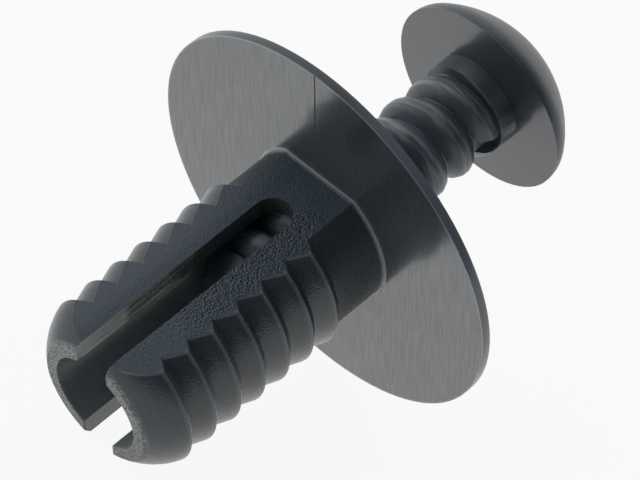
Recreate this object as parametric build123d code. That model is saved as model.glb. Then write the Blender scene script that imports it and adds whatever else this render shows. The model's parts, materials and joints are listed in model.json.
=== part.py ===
# Plastic screw rivet: a slotted, ribbed push-in body with a thin wide flange, and the
# coarse-threaded screw that is driven down its bore to spread the two legs.
# Both pieces are shaped on one local axis: z = 0 is the underside of the flange, +Z runs
# to the screw's head, -Z to the nose, and Y is square to the two flats that the slot cuts.
# They are then laid down as the loose rivet comes to rest: on the flange's edge and the
# nose, slot upwards, with +X towards the screw's head.
# All lengths are in millimetres.
import math
import os

from build123d import *

os.makedirs("parts", exist_ok=True)

# Flange
flange_diameter = 20.0
flange_rim_thickness = 0.45
flange_hub_thickness = 0.8
flange_seat_margin = 0.3        # flat seat on the top, beyond the screw's head
flange_neck_fillet = 0.15

# Ribbed legs
root_diameter = 7.9
rib_diameter = 8.64
rib_pitch = 1.49
rib_count = 7                   # the last one is the barb of the nose
rib_step = 0.42                 # length of the steep side, which faces the flange
neck_length = 2.9               # from the flange to the first rib
across_flats = 6.68

# Nose
nose_length = 1.72              # from the last rib's crest to the end face
nose_arc_radius = 3.4
nose_start_angle = 18.0         # degrees between the axis and the nose where it leaves the rib

# Slot between the legs
slot_width = 1.85
slot_start = 2.08               # from the flange to the slot's round end

# Screw
head_diameter = 9.9
head_height = 3.15
head_rim = 0.42
rim_rounded_share = 0.83        # how much of the rim its rounding into the dome takes up
shank_length = 16.5
screw_neck_length = 0.95
screw_neck_diameter = 4.76      # plain, a hair thicker than the thread that runs out into it
thread_diameter = 4.7
thread_depth = 0.5
thread_pitch = 1.75
groove_floor = 0.1              # core that shows between the turns
flank_angle = 43.0              # degrees from square to the axis
crest_cut = 0.2                 # taken off the crest's corners, along the flank and the crest
ridge_foot = 0.15               # how deep the ridge is rooted in the core
thread_top = 0.1                # from the head to the crest where the thread has run into the neck
thread_end_angle = 71.0         # degrees round the axis from local X to that end
notch_angle = 200.0             # degrees to the notch's flat wall, in the first turn
notch_width = 1.0
notch_length = 1.25             # along the axis, up to the neck
end_taper = 1.6
end_diameter = 2.8

# Cross recess in the head
recess_width = 4.6
recess_wing = 1.1
recess_depth = 2.0
recess_bottom = 2.0             # width across at its floor

# How far every cutter runs past the face that it opens
cutter_over = 1.0

# Fit and position
bore_clearance = 0.1            # all round the thread
screw_lift = 9.4                # how far the head stands off its seat

# Places worked out from the sizes above
flange_radius = flange_diameter / 2
root_radius = root_diameter / 2
rib_radius = rib_diameter / 2
flat_height = across_flats / 2
first_crest = -neck_length - rib_step
nose_start = first_crest - rib_pitch * (rib_count - 1)
tip = nose_start - nose_length
nose_centre_radius = rib_radius - nose_arc_radius * math.cos(math.radians(nose_start_angle))
nose_centre_z = nose_start + nose_arc_radius * math.sin(math.radians(nose_start_angle))
bore_radius = thread_diameter / 2 + bore_clearance
seat_radius = head_diameter / 2 + flange_seat_margin
head_underside = flange_hub_thickness + screw_lift


def nose_z(radius):
    """Height at which the nose has the given radius."""
    return nose_centre_z - math.sqrt(nose_arc_radius**2 - (radius - nose_centre_radius) ** 2)


def nose_radius(z):
    """Radius of the nose at the given height."""
    return nose_centre_radius + math.sqrt(nose_arc_radius**2 - (z - nose_centre_z) ** 2)


def ribbed_shank():
    """Round shank with saw-tooth ribs and a rounded nose, before the flats are cut."""
    outline = [(0, 0), (root_radius, 0)]
    for rib in range(rib_count):
        crest = first_crest - rib * rib_pitch
        outline += [(root_radius, crest + rib_step), (rib_radius, crest)]
    middle = (nose_start + tip) / 2
    end = (nose_radius(tip), tip)
    edges = Polyline(*outline)
    edges += ThreePointArc(outline[-1], (nose_radius(middle), middle), end)
    edges += Polyline(end, (0, tip), (0, 0))
    half = make_face(Plane.XZ * edges)
    return revolve(half, Axis.Z)


def flange():
    """Thin disc, flat below, with a raised flat seat for the head and a fall to the rim."""
    outline = Polyline(
        (0, 0),
        (flange_radius, 0),
        (flange_radius, flange_rim_thickness),
        (seat_radius, flange_hub_thickness),
        (0, flange_hub_thickness),
        (0, 0),
    )
    return revolve(make_face(Plane.XZ * outline), Axis.Z)


def rivet_body():
    flats = Box(flange_diameter, across_flats, -tip, align=(Align.CENTER, Align.CENTER, Align.MAX))
    body = flange() + (ribbed_shank() & flats)
    at_seat = body.edges().filter_by_position(Axis.Z, -flange_neck_fillet, flange_neck_fillet / 2)
    corner = at_seat.filter_by(lambda edge: edge.bounding_box().max.X < root_radius + flange_neck_fillet)
    body = fillet(corner, flange_neck_fillet)
    bore_length = flange_hub_thickness - tip + 2 * cutter_over
    body -= Pos(0, 0, tip - cutter_over) * Cylinder(
        bore_radius, bore_length, align=(Align.CENTER, Align.CENTER, Align.MIN)
    )
    round_end = -slot_start - slot_width / 2
    body -= Pos(0, 0, round_end) * Rot(90, 0, 0) * Cylinder(slot_width / 2, flange_diameter)
    body -= Pos(0, 0, round_end) * Box(
        slot_width, flange_diameter, round_end - tip + cutter_over, align=(Align.CENTER, Align.CENTER, Align.MAX)
    )
    return body


def screw_head():
    """Domed head, flat below, with a short upright rim."""
    head_radius = head_diameter / 2
    dome = head_underside + head_rim
    top = head_underside + head_height
    dome_rise = head_height - head_rim
    dome_radius = (head_radius**2 + dome_rise**2) / (2 * dome_rise)
    dome_turn = math.asin(head_radius / dome_radius)
    half_way = dome_turn / 2
    shoulder = (
        dome_radius * math.sin(half_way),
        top - dome_radius * (1 - math.cos(half_way)),
    )
    edges = Polyline((0, top), (0, head_underside), (head_radius, head_underside), (head_radius, dome))
    edges += ThreePointArc((head_radius, dome), shoulder, (0, top))
    half = make_face(Plane.XZ * edges)
    rim_top = half.vertices().group_by(Axis.X)[-1].sort_by(Axis.Z)[-1]
    rounding = rim_rounded_share * head_rim / math.tan((math.pi / 2 - dome_turn) / 2)
    return revolve(fillet(rim_top, rounding), Axis.Z)


def ridge_profile():
    """Section of the thread's ridge, out from the core: sloped flanks, cut corners and a flat crest."""
    flank = math.radians(flank_angle)
    foot = (thread_pitch - groove_floor) / 2
    corner = foot - thread_depth * math.tan(flank)
    side = [
        (-ridge_foot, foot),
        (0, foot),
        (thread_depth - crest_cut * math.cos(flank), corner + crest_cut * math.sin(flank)),
        (thread_depth, corner - crest_cut),
    ]
    other = [(out, -along) for out, along in reversed(side)]
    return make_face(Polyline(*side, *other, side[0]))


def thread_ridge():
    """Coarse right-handed ridge, from inside the neck to past the screw's end."""
    top = head_underside - thread_top
    run = top - (head_underside - shank_length) + thread_pitch
    path = Pos(0, 0, top - run) * Helix(thread_pitch, run, thread_diameter / 2 - thread_depth)
    section = Plane(origin=path @ 0, x_dir=(1, 0, 0), z_dir=path % 0) * ridge_profile()
    ridge = sweep(section, path=path, is_frenet=True)
    part_turn = 360 * (run / thread_pitch % 1)
    return Rot(0, 0, thread_end_angle - part_turn) * ridge


def threaded_shank():
    """Core with the ridge on it, narrowed to its tapered end, notched near the plain neck."""
    outer = thread_diameter / 2
    end = head_underside - shank_length
    neck_end = head_underside - screw_neck_length
    on_axis = (Align.CENTER, Align.CENTER, Align.MIN)
    core = Pos(0, 0, end - thread_pitch) * Cylinder(
        outer - thread_depth, shank_length + thread_pitch, align=on_axis
    )
    clear = outer + thread_depth
    slope = end_taper / (outer - end_diameter / 2)
    keep = Polyline(
        (0, end),
        (end_diameter / 2, end),
        (clear, end + slope * (clear - end_diameter / 2)),
        (clear, head_underside),
        (0, head_underside),
        (0, end),
    )
    shank = (core + thread_ridge()) & revolve(make_face(Plane.XZ * keep), Axis.Z)
    notch = Rot(0, 0, notch_angle) * Pos(outer - thread_depth, 0, neck_end - notch_length) * Box(
        outer, notch_width, notch_length + cutter_over / 2, align=(Align.MIN, Align.MAX, Align.MIN)
    )
    neck = Pos(0, 0, neck_end) * Cylinder(
        screw_neck_diameter / 2, screw_neck_length + head_rim, align=on_axis
    )
    return shank - notch + neck


def cross_recess():
    """Cross-shaped socket whose wings narrow downwards."""
    top = head_underside + head_height
    wing = Pos(0, 0, top) * Box(
        recess_width, recess_wing, 2 * recess_depth, align=(Align.CENTER, Align.CENTER, Align.CENTER)
    )
    cone = Pos(0, 0, top - recess_depth) * Cone(
        recess_bottom / 2, recess_width / 2 + (recess_width - recess_bottom) / 2, 2 * recess_depth,
        align=(Align.CENTER, Align.CENTER, Align.MIN),
    )
    return (wing + Rot(0, 0, 90) * wing) & cone


def drive_screw():
    return screw_head() + threaded_shank() - cross_recess()


pieces = {"rivet_body": rivet_body(), "drive_screw": drive_screw()}

# The loose rivet lies on the flange's lower edge and on the ends of the lower flat,
# which reach down to where the nose is as high as the flat beside the slot.
flat_end = nose_z(math.hypot(flat_height, slot_width / 2))
tilt = math.atan2(flange_radius - flat_height, -flat_end)
lying = Plane(origin=(0, 0, 0), x_dir=(0, 1, 0), z_dir=(math.cos(tilt), 0, math.sin(tilt)))
pieces = {name: lying.location * piece for name, piece in pieces.items()}
box = Compound([solid for piece in pieces.values() for solid in piece.solids()]).bounding_box()
to_origin = Pos(-box.center().X, -box.center().Y, -box.min.Z)
for name, piece in pieces.items():
    placed = to_origin * piece
    placed.label = name
    export_step(placed, f"parts/{name}.step")
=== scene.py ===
# Plastic screw rivet: a split, ribbed rivet body with its coarse drive screw backed halfway out.
# Lengths on the rivet's own axes are in millimetres; the shared frame is in metres.
import json
import math
from types import SimpleNamespace

import bmesh
import bpy
from mathutils import Euler, Matrix, Vector


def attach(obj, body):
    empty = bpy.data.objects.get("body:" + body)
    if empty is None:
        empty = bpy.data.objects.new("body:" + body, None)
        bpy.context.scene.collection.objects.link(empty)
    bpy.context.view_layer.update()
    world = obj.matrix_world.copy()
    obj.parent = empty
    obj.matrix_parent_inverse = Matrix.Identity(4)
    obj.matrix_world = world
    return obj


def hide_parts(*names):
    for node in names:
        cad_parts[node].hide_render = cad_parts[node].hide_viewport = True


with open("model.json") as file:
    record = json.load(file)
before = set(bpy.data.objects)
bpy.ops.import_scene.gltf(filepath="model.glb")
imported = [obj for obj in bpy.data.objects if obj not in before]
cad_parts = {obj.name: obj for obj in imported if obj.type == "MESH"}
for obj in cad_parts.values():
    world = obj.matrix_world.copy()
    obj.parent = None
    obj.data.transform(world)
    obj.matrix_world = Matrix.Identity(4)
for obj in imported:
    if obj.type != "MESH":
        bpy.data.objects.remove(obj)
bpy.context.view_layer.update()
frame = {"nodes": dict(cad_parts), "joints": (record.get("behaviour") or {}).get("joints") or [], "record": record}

MM = 0.001

# The rivet's own axes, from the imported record: z runs from the nose to the screw head with 0 at the
# flange's underside, y comes out of the slotted flat that faces the camera, x crosses the slot.
mounts = {mount["name"]: mount for mount in frame["record"]["mounts"]}
along = Vector(frame["joints"][0]["axis"]).normalized()
seat = Vector(mounts["panel_seat"]["pos_m"])
shank_middle = Vector(mounts["panel_hole_shank"]["pos_m"])
flange_centre = shank_middle + along * (seat - shank_middle).dot(along)
outward = (seat - flange_centre).normalized()
sideways = outward.cross(along)
rivet_axes = Matrix((sideways, outward, along))

# The photograph's camera, in mm and degrees
SENSOR_WIDTH = 36.0
FOCAL_LENGTH = 224.95
CAMERA_DISTANCE = 180.0
CAMERA_RISE = 31.474                # above the floor
CAMERA_TURN = -58.704               # round the vertical
CAMERA_ROLL = 20.282                # about its own line of sight
AIM_LEFT = 0.0753                   # what it aims at, from the flange's centre
AIM_DOWN = 0.779

# The light tent and the paper that the rivet lies on
TENT_OPENING = Vector((-0.31, -0.707, 0.635))
DIM_FROM = 0.22                     # cosines of the angle from the opening's middle
DIM_FULL = 0.62
TENT_DIM = (0.045, 0.055, 0.07, 1.0)
WHITE = (1.0, 1.0, 1.0, 1.0)
PAPER = (0.86, 0.86, 0.86, 1.0)
PAPER_GLOW = 0.92                   # share of plain white that the camera sees in the paper
FLOOR_REACH = 1.5                   # metres

# Sizes of the solids that the finishes follow
FLANGE_RADIUS = 10.0
RIB_RADIUS = 4.32
FLAT_HEIGHT = 3.34
SLOT_HALF_WIDTH = 0.925
SLOT_START = -2.08
NOSE_END = -13.98
BORE_RADIUS = 2.45
HEAD_UNDERSIDE = 10.2
THREAD_RADIUS = 2.35
THREAD_PITCH = 1.75
CREST_END = 10.1                    # where the thread's crest has run into the neck
CREST_END_ANGLE = math.radians(71.0)
CREST_EDGE = 0.17                   # from the crest's middle line to its edge

# The worn corner of one leg, in radians round the axis from the flat's middle
WORN_FROM = 0.36
WORN_TO = 1.10

# How the solids' edges are softened
MERGE_DISTANCE = 0.002
FACET_ANGLE = math.radians(0.6)     # faces that turn by less are one face
ROUNDED_ANGLE = math.radians(33.0)  # edges that turn by more are rounded
CREASE_ANGLE = math.radians(38.0)   # edges that still turn by more stay creases
BODY_EDGE_ROUND = 0.05
SCREW_EDGE_ROUND = 0.03

# Colours of the body
BODY_DARK = (0.048, 0.064, 0.073, 1.0)
BODY_LIGHT = (0.060, 0.077, 0.086, 1.0)
SAND_DARK = (0.038, 0.059, 0.087, 1.0)
SAND_LIGHT = (0.066, 0.096, 0.132, 1.0)
# Painted light: the bore and slot get a far lighter grey than the plastic outside, a little lighter toward the
# nose
INSIDE_AT_FLANGE = (0.22, 0.26, 0.265, 1.0)
INSIDE_AT_NOSE = (0.24, 0.27, 0.275, 1.0)
# Painted shade: the slot darker toward the nose
SLOT_PAINTED_SHADE = (0.050, 0.066, 0.068, 1.0)
# Painted reflection on one slot wall toward the nose: a dim olive tone, with lighter streaks along the drawing
# lines
WALL_DIM_REFLECTION = (0.11, 0.13, 0.11, 1.0)
WALL_STREAKED_REFLECTION = (0.40, 0.43, 0.30, 1.0)
# Painted highlight: a near-white patch inside the bore near the nose
PAINTED_LIGHT_PATCH = (0.95, 0.93, 0.90, 1.0)
TORN_END = (0.58, 0.59, 0.57, 1.0)
# Painted highlight along the rib crests on one side, broken up by noise
RIDGE_HIGHLIGHT = (0.19, 0.21, 0.225, 1.0)
# Painted highlight: a thin light line along the flats' edge, on one side
FLAT_EDGE_HIGHLIGHT = (0.18, 0.20, 0.22, 1.0)
# Painted highlight: a light line round the foot of the neck at the flange
FOOT_HIGHLIGHT = (0.20, 0.215, 0.225, 1.0)
# Painted light: one side of the flange's rim lighter
RIM_SIDE_LIGHT = (0.17, 0.19, 0.22, 1.0)
# Painted highlight: a light line along the rim's lower edge
RIM_EDGE_HIGHLIGHT = (0.24, 0.26, 0.28, 1.0)
# Painted highlights on the pebble tops beside the slot
PEBBLE_HIGHLIGHT = (0.17, 0.20, 0.245, 1.0)
SPECK = (0.25, 0.27, 0.29, 1.0)
SCRATCH = (0.020, 0.022, 0.024, 1.0)

# Colours of the screw
SHANK_DARK = (0.088, 0.108, 0.128, 1.0)
SHANK_LIGHT = (0.145, 0.172, 0.200, 1.0)
# The head takes darker copies of the shank's colours, though both are one moulding: painted shade on the head
HEAD_DARK = (0.055, 0.067, 0.079, 1.0)
HEAD_LIGHT = (0.080, 0.096, 0.114, 1.0)
# Painted shade: the shank darker where it lies in the body
SHANK_SHADE_IN_BODY = (0.036, 0.046, 0.053, 1.0)
LIT_CREST = (0.20, 0.22, 0.23, 1.0)
# Scuffs with painted highlights on the thread's crests
CREST_SCUFF_AND_HIGHLIGHT = (0.30, 0.33, 0.36, 1.0)

# Surfaces
BODY_ROUGHNESS = 0.29
SCREW_ROUGHNESS = 0.40
COAT_ROUGHNESS = 0.12
GRAIN_MIDDLE = 0.8                  # middle height of the eroded grain
RELIEF_DISTANCE = 0.02 * MM
SCRATCH_ASIDE = 0.23                # place and start of the long scratch under the flange
SCRATCH_START = 6.1


def camera():
    """The photograph's camera: a long lens, tipped about its own line of sight."""
    look = bpy.data.cameras.new("camera")
    look.sensor_width = SENSOR_WIDTH
    look.lens = FOCAL_LENGTH
    look.clip_start = 0.005
    look.clip_end = 10.0
    holder = bpy.data.objects.new("camera", look)
    bpy.context.scene.collection.objects.link(holder)
    level = Euler((math.radians(90.0 - CAMERA_RISE), 0.0, math.radians(CAMERA_TURN)), "XYZ")
    turn = level.to_matrix() @ Matrix.Rotation(math.radians(CAMERA_ROLL), 3, "Z")
    right, up, back = turn.col
    aim = flange_centre - right * AIM_LEFT * MM - up * AIM_DOWN * MM
    holder.matrix_world = Matrix.Translation(aim + back * (CAMERA_DISTANCE * MM)) @ turn.to_4x4()
    bpy.context.scene.camera = holder
    bpy.context.scene.view_settings.view_transform = "Standard"


class Sheet:
    """A node tree being filled: each method adds to it and gives back an output socket."""

    def __init__(self, tree):
        self.tree = tree

    def node(self, kind, outlet=0, settings=None, **inputs):
        """Any node. An input goes by its socket's name, with _ for a space, or by i and its number."""
        made = self.tree.nodes.new(kind)
        for name, value in (settings or {}).items():
            setattr(made, name, value)
        for name, value in inputs.items():
            number = name[1:]
            socket = made.inputs[int(number) if number.isdigit() else name.replace("_", " ")]
            if isinstance(value, bpy.types.NodeSocket):
                self.tree.links.new(value, socket)
            else:
                socket.default_value = value
        return made.outputs[outlet]

    def calc(self, job, a, b=0.0):
        return self.node("ShaderNodeMath", settings={"operation": job}, i0=a, i1=b)

    def dot(self, a, b):
        return self.node("ShaderNodeVectorMath", "Value", {"operation": "DOT_PRODUCT"}, i0=a, i1=b)

    def both(self, first, *others):
        """Product of masks: 1 only where all of them are."""
        for other in others:
            first = self.calc("MULTIPLY", first, other)
        return first

    def without(self, mask):
        """1 where the mask is 0, and 0 where it is 1."""
        return self.calc("SUBTRACT", 1.0, mask)

    def adjusted(self, start, *changes):
        """Start, plus each mask or value times its amount."""
        for value, amount in changes:
            start = self.calc("ADD", start, self.calc("MULTIPLY", value, amount))
        return start

    def step(self, value, low, high):
        """0 below low, 1 above high, smooth between; high may be the smaller one."""
        return self.node("ShaderNodeMapRange", settings={"interpolation_type": "SMOOTHSTEP"},
                         Value=value, From_Min=low, From_Max=high)

    def band(self, value, low, full, still_full, high):
        """1 between full and still_full, and 0 from low down and from high up."""
        return self.both(self.step(value, low, full), self.step(value, high, still_full))

    def near(self, value, middle, gone, full):
        """1 as far as full from the middle, and 0 from gone on."""
        off = self.calc("ABSOLUTE", self.calc("SUBTRACT", value, middle))
        return self.step(off, gone, full)

    def blend(self, amount, first, second):
        """The first colour turned into the second. This node's sockets share names, hence numbers."""
        return self.node("ShaderNodeMix", 2, {"data_type": "RGBA"}, i0=amount, i6=first, i7=second)

    def layered(self, base, *coats):
        """The base colour with each coat laid over it where its mask is 1."""
        for mask, colour in coats:
            base = self.blend(mask, base, colour)
        return base

    def noise(self, place, per_mm, detail):
        return self.node("ShaderNodeTexNoise", Vector=place, Scale=per_mm, Detail=detail)

    def cells(self, place, per_mm):
        """Distance from the nearest of the points strewn through the plastic."""
        return self.node("ShaderNodeTexVoronoi", "Distance", Vector=place, Scale=per_mm)

    def effect(self, group, **inputs):
        """A shared effect, placed here with its own values."""
        return self.node("ShaderNodeGroup", settings={"node_tree": group}, **inputs)


def tent():
    """A white light tent that is open and dim on the photographer's side."""
    world = bpy.data.worlds.new("light_tent")
    world.use_nodes = True
    world.node_tree.nodes.clear()
    s = Sheet(world.node_tree)
    direction = s.node("ShaderNodeTexCoord", "Generated")
    dim = s.step(s.dot(direction, TENT_OPENING), DIM_FROM, DIM_FULL)
    light = s.node("ShaderNodeBackground", Color=s.blend(dim, WHITE, TENT_DIM), Strength=1.0)
    white = s.node("ShaderNodeBackground", Color=WHITE, Strength=1.0)
    seen = s.node("ShaderNodeLightPath", "Is Camera Ray")
    shown = s.node("ShaderNodeMixShader", i0=seen, i1=light, i2=white)
    end = world.node_tree.nodes.new("ShaderNodeOutputWorld")
    world.node_tree.links.new(shown, end.inputs["Surface"])
    bpy.context.scene.world = world


def new_material(name):
    material = bpy.data.materials.new(name)
    material.use_nodes = True
    material.node_tree.nodes.clear()
    return material, Sheet(material.node_tree)


def finish_material(s, shader):
    end = s.tree.nodes.new("ShaderNodeOutputMaterial")
    s.tree.links.new(shader, end.inputs["Surface"])


def floor():
    """Pale paper that shows almost white and keeps the rivet's shadow."""
    material, s = new_material("pale_paper")
    paper = s.node("ShaderNodeBsdfDiffuse", Color=PAPER)
    glow = s.node("ShaderNodeEmission", Color=WHITE, Strength=1.0)
    ray = s.node("ShaderNodeLightPath").node.outputs
    seen = s.calc("MAXIMUM", s.calc("MULTIPLY", ray["Is Camera Ray"], PAPER_GLOW), ray["Is Glossy Ray"])
    finish_material(s, s.node("ShaderNodeMixShader", i0=seen, i1=paper, i2=glow))
    work = bmesh.new()
    bmesh.ops.create_grid(work, x_segments=1, y_segments=1, size=FLOOR_REACH)
    mesh = bpy.data.meshes.new("floor")
    work.to_mesh(mesh)
    work.free()
    mesh.materials.append(material)
    plane = bpy.data.objects.new("floor", mesh)
    bpy.context.scene.collection.objects.link(plane)


def new_effect(name, inputs, output):
    """A node group that more than one material uses, with named inputs and one value put out."""
    made = bpy.data.node_groups.new(name, "ShaderNodeTree")
    for label, kind in inputs.items():
        made.interface.new_socket(label, in_out="INPUT", socket_type=kind)
    made.interface.new_socket(output, in_out="OUTPUT", socket_type="NodeSocketFloat")
    given = made.nodes.new("NodeGroupInput").outputs
    end = made.nodes.new("NodeGroupOutput").inputs[output]
    return made, Sheet(made), given, end


def eroded_grain():
    """Pebbled skin that a spark-eroded mould leaves."""
    inputs = {"Place": "NodeSocketVector", "Cells per mm": "NodeSocketFloat"}
    made, s, given, end = new_effect("eroded_grain", inputs, "Height")
    pebbles = s.without(s.cells(given["Place"], given["Cells per mm"]))
    fine = s.noise(given["Place"], given["Cells per mm"], 3.0)
    s.tree.links.new(s.adjusted(pebbles, (fine, 0.5)), end)
    return made


def flow_streaks():
    """Fine parallel lines, as turned or drawn steel leaves them in the moulding."""
    inputs = {"Place": "NodeSocketVector", "Stretch": "NodeSocketVector", "Lines per mm": "NodeSocketFloat"}
    made, s, given, end = new_effect("flow_streaks", inputs, "Mask")
    stretched = s.node("ShaderNodeVectorMath", "Vector", {"operation": "MULTIPLY"},
                       i0=given["Place"], i1=given["Stretch"])
    s.tree.links.new(s.noise(stretched, given["Lines per mm"], 4.0), end)
    return made


def rivet_place(s):
    """Where the surface lies on the rivet's own axes, in mm, and how far from the rivet's axis."""
    place = s.node("ShaderNodeMapping", Vector=s.node("ShaderNodeTexCoord", "Object"),
                   Location=-(rivet_axes @ flange_centre) / MM,
                   Rotation=rivet_axes.to_euler("XYZ"), Scale=(1 / MM,) * 3)
    x, y, z = s.node("ShaderNodeSeparateXYZ", Vector=place).node.outputs
    from_axis = s.calc("SQRT", s.calc("ADD", s.calc("MULTIPLY", x, x), s.calc("MULTIPLY", y, y)))
    return SimpleNamespace(place=place, x=x, y=y, z=z, from_axis=from_axis)


def body_stretches(s, at):
    """Masks, each 1 on one stretch of the body that has a finish of its own.

    The plain numbers are the lengths in mm, on the rivet's own axes, between which a mask fades.
    """
    high = s.calc("ABSOLUTE", at.y)
    aside = s.calc("ABSOLUTE", at.x)
    at_rim = s.step(at.from_axis, FLANGE_RADIUS - 0.10, FLANGE_RADIUS - 0.05)
    on = SimpleNamespace()
    on.flat = s.both(s.near(high, FLAT_HEIGHT, 0.03, 0.01), s.step(at.z, -0.05, -0.15))
    on.seat = s.both(s.near(at.z, 0.0, 0.04, 0.02),
                     s.step(at.from_axis, BORE_RADIUS + 0.15, BORE_RADIUS + 0.25))
    on.end = s.step(at.z, NOSE_END + 0.23, NOSE_END)
    on.slot = s.both(s.step(aside, SLOT_HALF_WIDTH + 0.02, SLOT_HALF_WIDTH - 0.01),
                     s.step(at.z, SLOT_START + 0.10, SLOT_START - 0.02),
                     s.step(high, FLAT_HEIGHT - 0.01, FLAT_HEIGHT - 0.05))
    bore = s.both(s.step(at.from_axis, BORE_RADIUS + 0.07, BORE_RADIUS + 0.02), s.step(at.z, 0.7, 0.4))
    on.inside = s.calc("MAXIMUM", bore, on.slot)
    on.slot_wall = s.both(on.slot, s.step(at.x, SLOT_HALF_WIDTH - 0.05, SLOT_HALF_WIDTH - 0.01),
                          s.step(at.y, 1.9, 2.3))
    on.beside_slot = s.both(s.band(at.x, -2.9, -1.5, -1.0, -0.5), s.step(at.y, 0.0, 1.0),
                            s.band(at.z, -11.0, -8.0, -2.6, -1.2))
    on.ridge = s.both(s.band(at.from_axis, RIB_RADIUS - 0.08, RIB_RADIUS - 0.02,
                             RIB_RADIUS + 0.08, RIB_RADIUS + 0.28),
                      s.step(at.z, -2.6, -2.8), s.step(at.x, -0.5, -1.0))
    on.cut_edge = s.both(s.band(high, FLAT_HEIGHT - 0.11, FLAT_HEIGHT - 0.06,
                                FLAT_HEIGHT - 0.012, FLAT_HEIGHT - 0.004),
                         s.step(at.x, -1.2, -1.6), s.step(at.z, -2.8, -3.1))
    on.foot = s.both(s.band(at.z, -0.24, -0.15, -0.02, -0.005), s.step(at.from_axis, 3.0, 3.1))
    on.rim = s.both(at_rim, s.step(at.z, -0.05, 0.0))
    on.rim_edge = s.both(at_rim, s.near(at.z, 0.0, 0.08, 0.03))
    return on


def body_traces(s, at, on, grain, streaks):
    """What the mould and some knocks left on the body, and the painted highlight inside near the nose."""
    left = SimpleNamespace()
    left.pebbles = s.effect(grain, Place=at.place, Cells_per_mm=9.0)
    left.fine = s.effect(grain, Place=at.place, Cells_per_mm=13.0)
    left.torn = s.noise(at.place, 11.0, 4.0)
    left.clouds = s.noise(at.place, 0.45, 3.0)
    left.across = s.effect(streaks, Place=at.place, Stretch=(1.0, 0.05, 1.0), Lines_per_mm=10.0)
    left.drawn = s.effect(streaks, Place=at.place, Stretch=(1.0, 1.0, 0.06), Lines_per_mm=5.0)
    wandering = s.adjusted(at.x, (s.calc("SUBTRACT", left.across, 0.5), 0.06))
    left.scratch = s.both(on.seat, s.near(wandering, SCRATCH_ASIDE, 0.055, 0.025),
                          s.step(at.y, SCRATCH_START, SCRATCH_START + 0.5))
    left.specks = s.both(s.step(s.cells(at.place, 1.6), 0.045, 0.03), s.without(on.inside))
    # A painted highlight: the light patch inside near the nose, out from a slanting line
    left.polished = s.both(on.inside, s.step(at.x, 0.5, 0.8),
                           s.step(s.adjusted(at.y, (at.z, 0.33)), -2.30, -2.15),
                           s.step(s.adjusted(at.z, (left.drawn, 1.6)), -10.0, -10.4))
    return left


def body_colour(s, at, on, left):
    """Grey plastic with the tone of each stretch and trace laid over it, and painted light, shade, highlights and
    reflections.
    """
    sandy = s.blend(s.step(left.fine, 0.65, 1.05), SAND_DARK, SAND_LIGHT)
    lit_inside = s.blend(s.step(at.z, -4.0, -9.5), INSIDE_AT_FLANGE, INSIDE_AT_NOSE)
    # Streaks where the painted reflection on the slot wall is lighter
    streaked_reflection = s.both(on.slot_wall, s.step(left.drawn, 0.48, 0.62), s.step(at.z, -5.5, -8.5))
    return s.layered(
        s.blend(left.clouds, BODY_DARK, BODY_LIGHT),
        (on.flat, sandy),
        # painted light inside the bore and slot
        (on.inside, lit_inside),
        # painted shade in the slot toward the nose
        (s.both(on.slot, s.step(at.z, -9.0, -6.0)), SLOT_PAINTED_SHADE),
        # painted reflection on one slot wall, dim, then streaked lighter
        (s.both(on.slot_wall, s.step(at.z, -6.0, -8.0)), WALL_DIM_REFLECTION),
        (streaked_reflection, WALL_STREAKED_REFLECTION),
        # painted highlight inside near the nose
        (s.both(left.polished, s.step(left.drawn, 0.30, 0.38)), PAINTED_LIGHT_PATCH),
        (s.both(on.end, s.step(left.torn, 0.35, 0.65)), TORN_END),
        # painted highlight on the rib crests
        (s.both(on.ridge, s.step(left.torn, 0.25, 0.5)), RIDGE_HIGHLIGHT),
        # painted highlight along the flats' edge
        (on.cut_edge, FLAT_EDGE_HIGHLIGHT),
        # painted highlight round the neck's foot
        (on.foot, FOOT_HIGHLIGHT),
        # painted light on one side of the rim
        (s.both(on.rim, s.step(at.x, -0.5, -3.5)), RIM_SIDE_LIGHT),
        # painted highlight on the rim's edge
        (on.rim_edge, RIM_EDGE_HIGHLIGHT),
        # painted highlights on the pebble tops
        (s.both(on.beside_slot, s.step(left.pebbles, 0.82, 1.08)), PEBBLE_HIGHLIGHT),
        (left.specks, SPECK),
        (left.scratch, SCRATCH),
    )


def body_height(s, on, left):
    """Relief of the body's surface: pebbles, grain, lines, streaks, the torn end and the scratch."""
    pebble_depth = s.adjusted(0.7, (on.beside_slot, 5.0))
    grain_depth = s.adjusted(0.40, (on.seat, -0.395), (on.rim, -0.35), (on.flat, 0.5))
    return s.adjusted(
        s.both(left.pebbles, on.flat, pebble_depth),
        (left.fine, grain_depth),
        (s.both(left.across, on.seat), 0.12),
        (s.both(left.drawn, on.slot_wall), 2.0),
        (s.both(left.torn, on.end), 2.2),
        (left.scratch, -0.15),
    )


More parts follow.
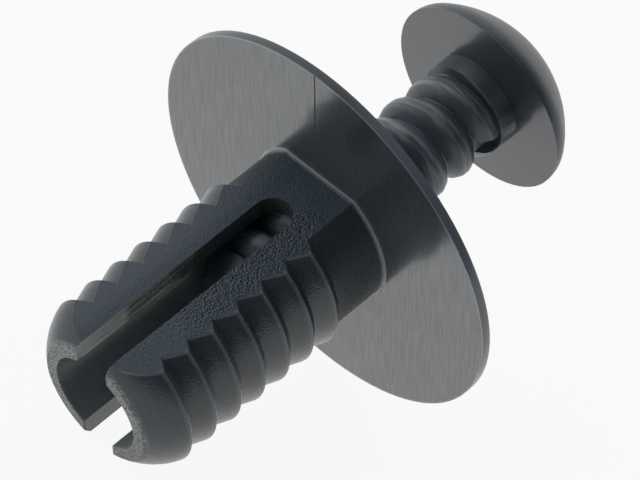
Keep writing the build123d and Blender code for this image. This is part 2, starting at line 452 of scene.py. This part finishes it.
def worn_corner(s, at):
    """Normals of one leg, turned slowly from its flats to its round side as on a worn corner."""
    facing = s.node("ShaderNodeTexCoord", "Normal")
    lean = s.dot(facing, along)
    level = s.calc("SQRT", s.calc("MAXIMUM", s.without(s.calc("MULTIPLY", lean, lean)), 0.0))
    round_axis = s.calc("ARCTAN2", at.x, s.calc("ABSOLUTE", at.y))
    eased = s.node("ShaderNodeMapRange", Value=round_axis, From_Min=WORN_FROM, From_Max=WORN_TO,
                   To_Min=0.0, To_Max=WORN_TO)
    on_own_axes = s.node("ShaderNodeCombineXYZ", X=s.both(s.calc("SINE", eased), level),
                         Y=s.both(s.calc("COSINE", eased), s.calc("SIGN", at.y), level), Z=lean)
    turned = s.node("ShaderNodeMapping", settings={"vector_type": "VECTOR"}, Vector=on_own_axes,
                    Rotation=rivet_axes.transposed().to_euler("XYZ"))
    on_corner = s.both(s.step(at.x, SLOT_HALF_WIDTH + 0.035, SLOT_HALF_WIDTH + 0.275),
                       s.step(at.z, -0.2, -0.4),
                       s.step(at.from_axis, BORE_RADIUS + 0.10, BORE_RADIUS + 0.25),
                       s.step(round_axis, WORN_TO + 0.04, WORN_TO - 0.02))
    return s.node("ShaderNodeMix", 1, {"data_type": "VECTOR"}, i0=on_corner, i4=facing, i5=turned)


def body_plastic(grain, streaks):
    """Grey plastic: glossy under the flange, sandy on the flats, with painted highlights at edges and painted
    light, shade and reflection in the bore and slot.
    """
    material, s = new_material("body_plastic")
    at = rivet_place(s)
    on = body_stretches(s, at)
    left = body_traces(s, at, on, grain, streaks)
    grainy = s.both(s.calc("SUBTRACT", left.fine, GRAIN_MIDDLE), s.without(on.seat), s.without(on.rim))
    rough = s.adjusted(BODY_ROUGHNESS, (on.flat, 0.20), (on.seat, -0.08), (on.end, 0.29),
                       (grainy, 0.12), (left.scratch, 0.5))
    brushed = s.adjusted(0.68, (s.step(left.across, 0.38, 0.62), 0.42))
    shine = s.both(on.seat, s.without(left.scratch), brushed)
    relief = s.node("ShaderNodeBump", Strength=1.0, Distance=RELIEF_DISTANCE,
                    Height=body_height(s, on, left), Normal=worn_corner(s, at))
    shader = s.node("ShaderNodeBsdfPrincipled", Base_Color=body_colour(s, at, on, left), Roughness=rough,
                    Normal=relief, IOR=1.55, Coat_Weight=s.calc("MULTIPLY", shine, 0.7),
                    Coat_Roughness=COAT_ROUGHNESS)
    finish_material(s, shader)
    return material


def screw_colour(s, at, on_head, on_crest, marks):
    """Grey plastic with painted shade on the shank where it lies in the body and on the head, and scuffs and
    painted highlights on the thread's crests.
    """
    # painted shade: the head darker than the shank
    dark = s.blend(on_head, SHANK_DARK, HEAD_DARK)
    light = s.blend(on_head, SHANK_LIGHT, HEAD_LIGHT)
    plain = s.blend(s.noise(at.place, 0.8, 4.0), dark, light)
    tips = s.step(at.from_axis, THREAD_RADIUS - 0.15, THREAD_RADIUS - 0.02)
    lit_tips = s.both(tips, s.step(at.x, 0.28, 0.05), s.step(at.y, 0.4, 1.0), s.step(at.z, 0.0, -0.6))
    # The crest climbs one pitch a turn, and off_crest is how far along the axis its middle line is
    round_axis = s.calc("SUBTRACT", s.calc("ARCTAN2", at.y, at.x), CREST_END_ANGLE)
    wound = s.calc("MULTIPLY", round_axis, THREAD_PITCH / math.tau)
    from_end = s.calc("SUBTRACT", s.calc("SUBTRACT", at.z, CREST_END), wound)
    off_crest = s.calc("PINGPONG", from_end, THREAD_PITCH / 2)
    # Light lines along both edges of the crest where scuff marks run: scuffs and painted highlight
    edge_lines = s.both(s.near(off_crest, CREST_EDGE, 0.06, 0.02), on_crest, s.step(marks, 0.28, 0.46))
    # The crest marks show weaker where the shank lies in the body: painted shade
    dimmed_in_body_shade = s.adjusted(0.35, (s.step(at.z, -2.0, 3.0), 0.65))
    return s.layered(
        plain,
        # painted shade on the shank where it lies in the body
        (s.step(at.z, 3.0, -2.0), SHANK_SHADE_IN_BODY),
        (lit_tips, LIT_CREST),
        # scuffs and painted highlights on the crests, dimmed in the body by painted shade
        (s.both(edge_lines, dimmed_in_body_shade, 0.8), CREST_SCUFF_AND_HIGHLIGHT),
        (s.both(on_crest, dimmed_in_body_shade, s.step(marks, 0.46, 0.66)), CREST_SCUFF_AND_HIGHLIGHT),
    )


def screw_plastic(grain, streaks):
    """Grey plastic, a little lighter than the body's, with a glossy flat under the head."""
    material, s = new_material("screw_plastic")
    at = rivet_place(s)
    on_head = s.step(at.z, HEAD_UNDERSIDE - 0.03, HEAD_UNDERSIDE - 0.01)
    under_head = s.near(at.z, HEAD_UNDERSIDE, 0.03, 0.01)
    on_crest = s.both(s.step(at.from_axis, THREAD_RADIUS - 0.15, THREAD_RADIUS - 0.02),
                      s.step(at.z, HEAD_UNDERSIDE - 0.8, HEAD_UNDERSIDE - 1.0))
    marks = s.effect(streaks, Place=at.place, Stretch=(0.3, 0.3, 2.2), Lines_per_mm=2.2)
    across = s.effect(streaks, Place=at.place, Stretch=(1.0, 0.04, 1.0), Lines_per_mm=8.0)
    fine = s.effect(grain, Place=at.place, Cells_per_mm=14.0)
    grainy = s.both(s.calc("SUBTRACT", fine, GRAIN_MIDDLE), s.without(under_head))
    rough = s.adjusted(SCREW_ROUGHNESS, (under_head, -0.12), (grainy, 0.10))
    height = s.adjusted(s.calc("MULTIPLY", fine, s.adjusted(0.20, (under_head, -0.18))),
                        (s.both(across, under_head), 0.10),
                        (s.both(marks, s.without(on_head)), 0.6))
    relief = s.node("ShaderNodeBump", Strength=1.0, Distance=RELIEF_DISTANCE, Height=height)
    shader = s.node("ShaderNodeBsdfPrincipled", Base_Color=screw_colour(s, at, on_head, on_crest, marks),
                    Roughness=rough, Normal=relief, IOR=1.52,
                    Coat_Weight=s.calc("MULTIPLY", under_head, 0.6), Coat_Roughness=COAT_ROUGHNESS)
    finish_material(s, shader)
    return material


def moulded_copy(name, node, body, material, edge_round):
    """The CAD shape with its sharp edges rounded as a worn mould leaves them, and smooth curved faces."""
    work = bmesh.new()
    work.from_mesh(frame["nodes"][node].data)
    bmesh.ops.scale(work, vec=(1 / MM,) * 3, verts=work.verts)
    bmesh.ops.remove_doubles(work, verts=work.verts, dist=MERGE_DISTANCE)
    bmesh.ops.dissolve_limit(work, angle_limit=FACET_ANGLE, verts=work.verts, edges=work.edges,
                             use_dissolve_boundaries=False)
    sharp = [edge for edge in work.edges
             if len(edge.link_faces) == 2 and edge.calc_face_angle(0.0) > ROUNDED_ANGLE]
    bmesh.ops.bevel(work, geom=sharp, offset=edge_round, offset_type="OFFSET", segments=2, profile=0.5,
                    affect="EDGES", clamp_overlap=True, material=-1)
    for face in work.faces:
        face.smooth = True
    for edge in work.edges:
        edge.smooth = edge.calc_face_angle(0.0) < CREASE_ANGLE
    bmesh.ops.scale(work, vec=(MM,) * 3, verts=work.verts)
    mesh = bpy.data.meshes.new(name)
    work.to_mesh(mesh)
    work.free()
    if "custom_normal" in mesh.attributes:
        mesh.attributes.remove(mesh.attributes["custom_normal"])
    mesh.materials.append(material)
    piece = bpy.data.objects.new(name, mesh)
    bpy.context.scene.collection.objects.link(piece)
    weigh = piece.modifiers.new("even_shading", "WEIGHTED_NORMAL")
    weigh.keep_sharp = True
    weigh.weight = 100
    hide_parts(node)
    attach(piece, body)


camera()
tent()
floor()
grain = eroded_grain()
streaks = flow_streaks()
moulded_copy("moulded_body", "rivet_body", "body",
             body_plastic(grain, streaks), BODY_EDGE_ROUND)
moulded_copy("moulded_screw", "drive_screw", "screw",
             screw_plastic(grain, streaks), SCREW_EDGE_ROUND)
